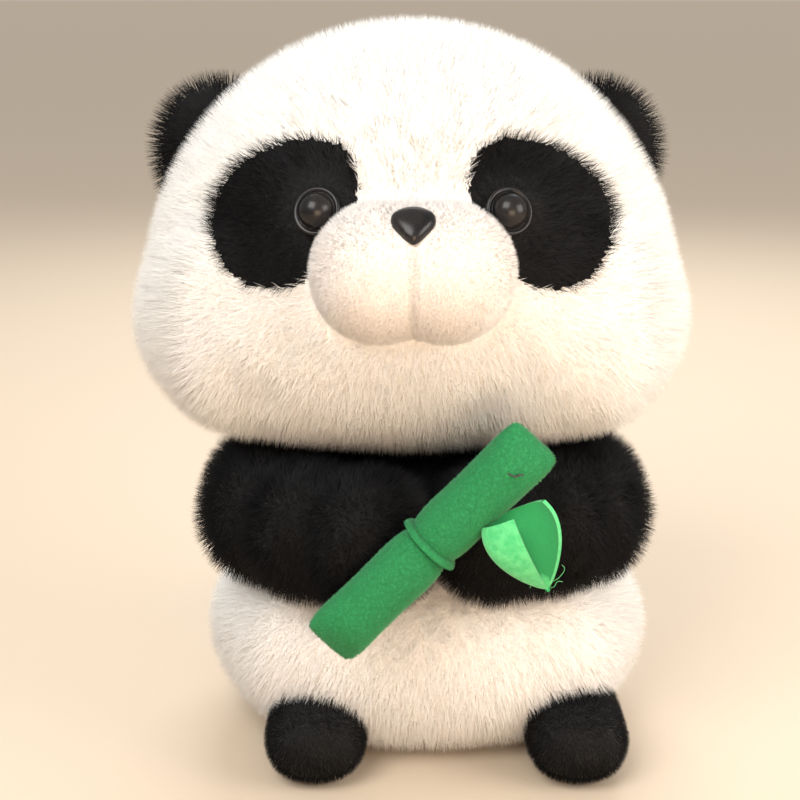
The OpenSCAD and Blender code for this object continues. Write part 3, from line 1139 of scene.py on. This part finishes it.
# %% Nose
nose_half, nose_top, nose_tall, nose_taper, nose_bow = 0.0078, 0.0066, 0.0132, 0.78, 0.0012
nose = lump((0, 0, 0), radii=(0.0084, 0.0064, 0.0034), roundness=0.86, cuts=15, low=0.002)
for vertex in nose.data.vertices:
    down = max(0.0, (nose_top - vertex.co.y) / nose_tall)
    vertex.co.x *= 1.03 - nose_taper * down ** 1.5
    vertex.co.y += nose_bow * (1 - (vertex.co.x / nose_half) ** 2) * (1 - down)
nose = fuse("nose_moulding", [nose], voxel=0.0006, rounds=3)
finer(nose)
nose_pitch = math.radians(45)
place_along(nose, (head_mid.x, -0.0795, 0.1935), (0, -math.cos(nose_pitch), math.sin(nose_pitch)))
nose.data.materials.append(gloss)
settle(nose, "head", ["nose"])

# %% [markdown]
# ## The bamboo
# The stalk is two stuffed tubes of felt with a raised band between them. Each far end is pinched shut in a
# flat seam, which leaves two corners. A tube is drawn as a circle extruded from ring to ring: round near the
# band, and flatter towards the seam. A very short, dense nap gives the felt its matted edge.

# %% The stalk's own line
stalk_lean = math.radians(46)
band_middle = Vector((-0.0012, -0.0884, 0.0960))
stalk_way = Vector((math.cos(stalk_lean), 0, math.sin(stalk_lean)))
stalk_side = Vector((math.sin(stalk_lean), 0, -math.cos(stalk_lean)))
outwards = Vector((0, -1, 0))


def on_stalk(side, out, along):
    """A point by how far it lies to the lower right of the stalk, out of the paws, and up from the band."""
    return band_middle + stalk_side * side + outwards * out + stalk_way * along


def drawn(name, stations, sides=32):
    """A tube drawn from ring to ring along +Z. Each station is (height, half width, half depth)."""
    alone()
    height, wide, deep = stations[0]
    bpy.ops.mesh.primitive_circle_add(vertices=sides, radius=1.0, location=(0, 0, 0), fill_type="NGON")
    tube = bpy.context.object
    tube.name = tube.data.name = name
    edit("FACE")
    bpy.ops.mesh.select_all(action="SELECT")
    bpy.ops.transform.resize(value=(wide, deep, 1))
    bpy.ops.transform.translate(value=(0, 0, height))
    for above, wider, deeper in stations[1:]:
        bpy.ops.mesh.extrude_region_move(TRANSFORM_OT_translate={"value": (0, 0, above - height)})
        bpy.ops.transform.resize(value=(wider / wide, deeper / deep, 1), center_override=(0, 0, above))
        height, wide, deep = above, wider, deeper
    bpy.ops.mesh.select_all(action="SELECT")
    bpy.ops.mesh.normals_make_consistent(inside=False)
    bpy.ops.object.mode_set(mode="OBJECT")
    return tube


def lay_on_stalk(piece, flip=1):
    """Moves a piece that was drawn round +Z on to the stalk's line, upwards or downwards from the band."""
    alone(piece)
    turn = math.radians(90) - stalk_lean
    piece.rotation_euler = (0, turn if flip > 0 else turn + math.pi, 0)
    piece.location = band_middle
    bpy.ops.object.transform_apply(location=True, rotation=True, scale=True)


# %% [markdown]
# ### Two tubes and a band
# A tube's stops are written as shares of its radius: drawn in where it meets the band, full just beyond, a
# touch slimmer half way along, then wide and thin where the end is pinched shut. The raised band is a ring
# of felt round the waist between the tubes.

# %% Stalk and band
tube_radius = 0.0088
for seed, (name, length, flip) in enumerate((("stalk_upper", 0.0475, 1), ("stalk_lower", 0.0455, -1))):
    stops = [
        (0.0005, 0.86, 0.86),
        (0.004, 0.98, 0.98),
        (0.009, 1.03, 1.03),
        (length * 0.5, 1.0, 1.0),
        (length - 0.012, 1.03, 0.98),
        (length - 0.007, 1.07, 0.8),
        (length - 0.003, 1.06, 0.48),
        (length, 0.97, 0.16),
    ]
    stations = [(height, tube_radius * wide, tube_radius * deep) for height, wide, deep in stops]
    tube = fuse(name + "_felt", [drawn(name, stations)], voxel=0.0013, rounds=2)
    stuff(tube, pressure=60.0, most=0.0005)
    pile(
        tube,
        green_backing,
        green_fibre,
        per_mm2=6.2,
        length=0.95,
        radius=0.105,
        brush=(0.1, 0, -0.3),
        mess=0.6,
        tuft=0.5,
        tuft_size=2.0,
        even=0.6,
        seed=seed + 91,
    )
    lay_on_stalk(tube, flip)
    settle(tube, "stalk", [name])
alone()
bpy.ops.mesh.primitive_torus_add(
    major_radius=0.0080, minor_radius=0.0021, major_segments=64, minor_segments=20
)
band = bpy.context.object
band.name = band.data.name = "stalk_band_felt"
pile(
    band,
    green_backing,
    green_fibre,
    per_mm2=7.0,
    length=0.9,
    radius=0.10,
    brush=(0, 0, -0.2),
    mess=0.6,
    tuft=0.5,
    tuft_size=2.0,
    even=0.6,
    seed=95,
)
lay_on_stalk(band)
settle(band, "stalk", ["stalk_band"])

# %% [markdown]
# ## The leaf
# One pointed piece of felt is sewn to the stalk by its broad foot and curls round like a cup, its left edge
# in front. A strip of squares is narrowed to the leaf's outline row by row, curled round, and thickened with
# a bevelled edge. A few loose fibres curl away from it, as they do wherever felt has been cut.

# %% Felt for the leaf
leaf_felt, recipe, shader, place = finish("leaf felt", roughness=0.95, sheen=0.2, shine=0.15)
mottle = recipe.noise(place, 420.0, 3.0, 0.6)["Fac"]
leaf_colour = recipe.blended(mottle.clipped(0.3, 0.7), rgb(0.06, 0.42, 0.15), rgb(0.11, 0.52, 0.20))
inner = recipe.add("ShaderNodeAttribute", {"attribute_name": "inner"})["Fac"]
# The side that faces into the cup is painted darker, as the shade inside the cup.
feed(recipe, shader, "Base Color", recipe.blended(inner, leaf_colour, rgb(0.025, 0.27, 0.085)))
feed(
    recipe,
    shader,
    "Normal",
    recipe.add("ShaderNodeBump", None, {"Strength": 0.9, "Distance": 0.0004, "Height": mottle})["Normal"],
)

# %% [markdown]
# ### Curling the leaf
# The cup is written as a place along the leaf and an angle round it. The felt then gets its thickness and a
# bevelled edge, and an attribute named `inner` marks the side that faces into the cup, which is painted
# darker as the shade inside the cup.

# %% Leaf
leaf_foot = on_stalk(0.0107, 0.0015, 0.0265)
leaf_way = Vector((0.3987, 0, -0.9171))
leaf_across = Vector((0.9171, 0, 0.3987))
alone()
bpy.ops.mesh.primitive_grid_add(x_subdivisions=24, y_subdivisions=16, size=2)
leaf = bpy.context.object
leaf.name = leaf.data.name = "leaf_cup"
leaf_long, leaf_half = 0.0290, 0.0122
leaf_sunk, leaf_bow, felt_thick = 0.001, 0.002, 0.0013
curl_start, curl_turn = 12, 256


def cup(along):
    """Half width and half depth of the leaf's cup, at a place from its foot, 0, to its tip, 1."""
    half = leaf_half * max(0.0, math.sin(math.pi * (0.16 + 0.84 * along) ** 0.62)) ** 0.8
    return half, half * 0.42


for vertex in leaf.data.vertices:
    along, across = (vertex.co.y + 1) / 2, (1 - vertex.co.x) / 2
    half, deep = cup(along)
    round_it = math.radians(curl_start + curl_turn * across)
    out = deep * (1 - math.sin(round_it)) + leaf_bow * math.sin(math.pi * along)
    vertex.co = (
        leaf_foot
        + leaf_way * (leaf_long * along - leaf_sunk)
        + leaf_across * half * math.cos(round_it)
        + outwards * out
    )
leaf.data.update()
bpy.ops.object.modifier_add(type="SOLIDIFY")
leaf.modifiers[-1].thickness = felt_thick
bpy.ops.object.modifier_apply(modifier=leaf.modifiers[-1].name)
bpy.ops.object.modifier_add(type="BEVEL")
leaf.modifiers[-1].width = 0.0003
leaf.modifiers[-1].segments = 2
bpy.ops.object.modifier_apply(modifier=leaf.modifiers[-1].name)
finer(leaf)
bpy.ops.object.shade_smooth()
leaf.data.materials.append(leaf_felt)
# Marks the points on the inner side of the cup, which get the painted shade.
cup_shade_mark = leaf.data.attributes.new("inner", "FLOAT", "POINT")
for item, vertex in zip(cup_shade_mark.data, leaf.data.vertices):
    along = (vertex.co - leaf_foot).dot(leaf_way) / leaf_long
    heart = leaf_foot + leaf_way * leaf_long * along + outwards * cup(max(0.0, min(1.0, along)))[1]
    item.value = 1.0 if (vertex.co - heart).dot(vertex.normal) < 0 else 0.0
settle(leaf, "leaf", ["leaf"])
print("leaf faces", len(leaf.data.polygons))

# %% [markdown]
# ## Threads
# A few loose fibres hang from the cut edge of the leaf, a tack shows near the top of the stalk, and one row
# of stitches draws the muzzle in. Each is a smooth curve through a few points, turned into a fine tube.

# %% A thread through a few points
def thread(name, points, radius, material, body):
    """A fine thread along a few points, as a smooth curve made into a mesh."""
    alone()
    bpy.ops.curve.primitive_bezier_curve_add()
    line = bpy.context.object
    line.data.splines.clear()
    spline = line.data.splines.new("BEZIER")
    spline.bezier_points.add(len(points) - 1)
    for spot, point in zip(spline.bezier_points, points):
        spot.co = point
        spot.handle_left_type = spot.handle_right_type = "AUTO"
    line.data.bevel_depth = radius
    line.data.bevel_resolution = 2
    line.data.use_fill_caps = True
    bpy.ops.object.convert(target="MESH")
    piece = bpy.context.object
    piece.name = piece.data.name = name
    bpy.ops.object.transform_apply(location=True, rotation=True, scale=True)
    piece.data.materials.append(material)
    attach(piece, body)
    return piece


# %% [markdown]
# ### Loose fibres and tack
# The places of the fibres are written in millimetres from the leaf's tip, and those of the tack from the band
# along the stalk's own line.

# %% Loose fibres and tack
green_thread, recipe, shader, place = finish("loose green fibre", roughness=0.7, sheen=0.2)
feed(
    recipe,
    shader,
    "Base Color",
    recipe.blended(recipe.noise(place, 800.0)["Fac"], rgb(0.04, 0.3, 0.09), rgb(0.1, 0.45, 0.16)),
)
black_thread, recipe, shader, place = finish("black sewing thread", roughness=0.5, sheen=0.2)
feed(
    recipe,
    shader,
    "Base Color",
    recipe.blended(recipe.noise(place, 1500.0)["Fac"], rgb(0.004, 0.004, 0.005), rgb(0.03, 0.03, 0.032)),
)
tip = leaf_foot + leaf_way * 0.026
curls = [
    [(0, 0, 0), (2.2, 1.0, -0.6), (3.6, 1.2, 1.4), (5.2, 0.4, 1.0)],
    [(0.6, 0, 0.8), (2.6, 1.8, 2.0), (4.6, 1.4, 3.6), (5.6, 0.6, 5.6), (4.8, 0.4, 6.6)],
    [(-2.4, 0, 2.2), (-4.2, 1.4, 1.2), (-5.0, 1.6, -0.6)],
]
for number, curl in enumerate(curls):
    thread(
        "leaf_fibre_%d" % (number + 1),
        [tip + Vector((x, -y, z)) * MM for x, y, z in curl],
        radius=0.00011,
        material=green_thread,
        body="leaf",
    )
tack = [
    (-1.5, 7.6, 35.0),
    (-0.6, 9.3, 35.5),
    (0.8, 9.3, 36.1),
    (1.8, 7.8, 36.7),
    (0.9, 9.2, 36.9),
    (2.4, 8.9, 38.1),
]
thread(
    "stalk_tack",
    [on_stalk(a * MM, b * MM, c * MM) for a, b, c in tack],
    radius=0.00025,
    material=black_thread,
    body="stalk",
)

# %% [markdown]
# ### Hidden hard parts
# The washers behind the eyes and the nose, and the stitch under the paw, keep their CAD shapes. They get a
# plastic with a faint speckle and the black thread.

# %% Hidden hard parts
washer_plastic, recipe, shader, place = finish("moulded washer plastic", roughness=0.5)
speckle = recipe.noise(place, 700.0, 2.0)["Fac"]
feed(recipe, shader, "Base Color", recipe.blended(speckle, rgb(0.78, 0.78, 0.77), rgb(0.88, 0.88, 0.87)))
feed(recipe, shader, "Roughness", speckle * 0.2 + 0.4)
hard_parts = {"paw_stitch": black_thread, "nose_washer": washer_plastic, "eye_washers": washer_plastic}
for name, material in hard_parts.items():
    nodes[name].data.materials.clear()
    nodes[name].data.materials.append(material)
print("CAD parts shown", len(hard_parts))

# %% [markdown]
# ### The muzzle's stitches
# One white thread lies in the valley between the lobes, in an arc from under the nose to under the chin.

# %% Mouth stitches
stitch_reach, stitch_start, stitch_step = 0.0186, 28, 8
white_thread, recipe, shader, place = finish("white sewing thread", roughness=0.7, sheen=0.2)
feed(
    recipe,
    shader,
    "Base Color",
    recipe.blended(recipe.noise(place, 1500.0)["Fac"], rgb(0.80, 0.70, 0.64), rgb(0.92, 0.86, 0.80)),
)
line = []
for step in range(12):
    angle = math.radians(stitch_start - step * stitch_step)
    out, up = stitch_reach * math.cos(angle), stitch_reach * math.sin(angle)
    line.append(Vector((head_mid.x, lobe_y - out, lobe_z + up)))
mouth = thread("mouth_stitches", line, radius=0.0003, material=white_thread, body="head")
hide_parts("mouth_thread")

# %% [markdown]
# ## Clearing up
# The fibres that were copied are no part of the toy, so they go.

# %% Clear away the seeds and finish
alone()
for spike, _, _ in spikes:
    bpy.data.objects.remove(spike, do_unlink=True)
